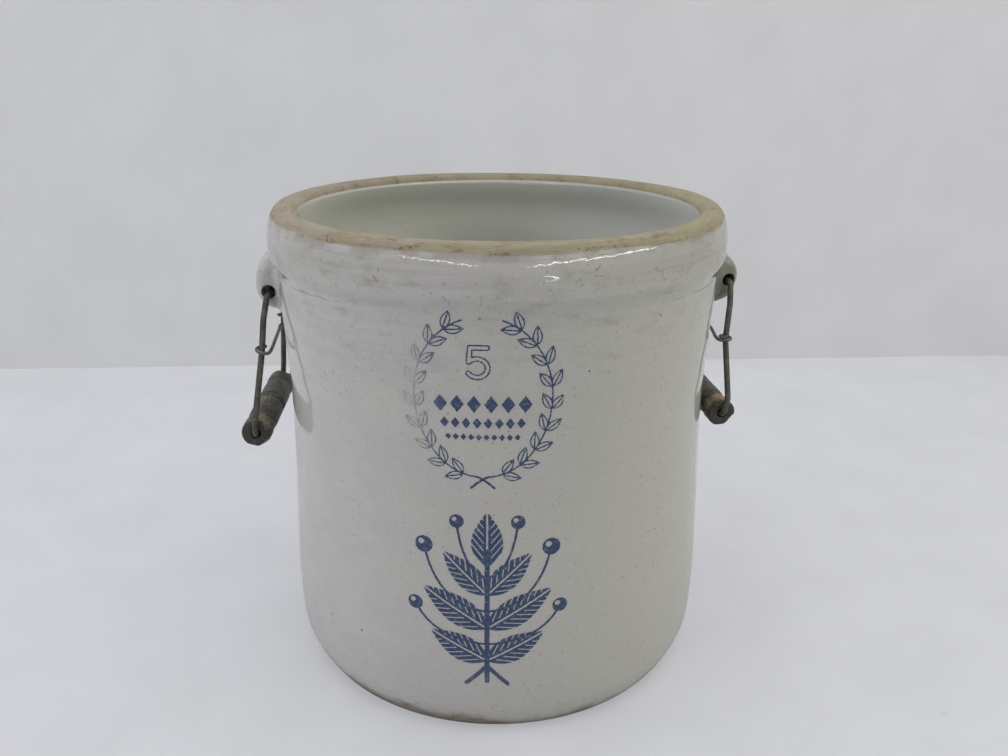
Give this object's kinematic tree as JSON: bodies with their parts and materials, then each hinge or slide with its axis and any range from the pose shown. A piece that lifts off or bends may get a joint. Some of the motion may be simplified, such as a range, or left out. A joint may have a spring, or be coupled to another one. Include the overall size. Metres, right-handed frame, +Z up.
{
  "type": "stoneware crock",
  "caption": "Tall open glazed stoneware crock with a rounded rim band, a bored lug on each side and swinging wire bail handles with turned wooden grips.",
  "frame": {"origin": "centre of the crock's flat underside", "axes": "+Z up, out of the open mouth; +X towards the right handle, -X towards the left handle; -Y towards the stamped front of the crock"},
  "size_m": [0.3569, 0.316, 0.328],
  "materials": {
    "glaze": "milky grey-white glaze with fine specks, semi-gloss, the rim and the foot's edge bare and tan",
    "bail_wire": "oxidised steel wire, dark grey with a green cast, dull",
    "tie_wire": "oxidised thin steel wire, dark grey, dull",
    "grip_wood": "dark brown-black paint worn through to tan wood, satin"
  },
  "bodies": {
    "crock": {"crock_body": "glaze", "left_lug": "glaze", "right_lug": "glaze"},
    "left_bail": {"left_bail": "bail_wire", "left_tie": "tie_wire"},
    "left_grip": {"left_grip": "grip_wood"},
    "right_bail": {"right_bail": "bail_wire", "right_tie": "tie_wire"},
    "right_grip": {"right_grip": "grip_wood"}
  },
  "joints": [
    {"name": "left_bail_swing", "type": "hinge", "parent": "crock", "child": "left_bail", "pos_m": [-0.1585, 0, 0.2682], "axis": [0, 1, 0], "range_deg": [-5.6, 168]},
    {"name": "left_grip_spin", "type": "hinge", "parent": "left_bail", "child": "left_grip", "pos_m": [-0.17051, 0, 0.17537], "axis": [-0.0099, 1, 0.0013], "continuous": true},
    {"name": "right_bail_swing", "type": "hinge", "parent": "crock", "child": "right_bail", "pos_m": [0.16367, 0.0201, 0.2708], "axis": [0.1219, -0.9925, 0], "range_deg": [0, 178]},
    {"name": "right_grip_spin", "type": "hinge", "parent": "right_bail", "child": "right_grip", "pos_m": [0.16033, 0.01969, 0.17726], "axis": [-0.0622, 0.9981, -0.0021], "continuous": true}
  ]
}
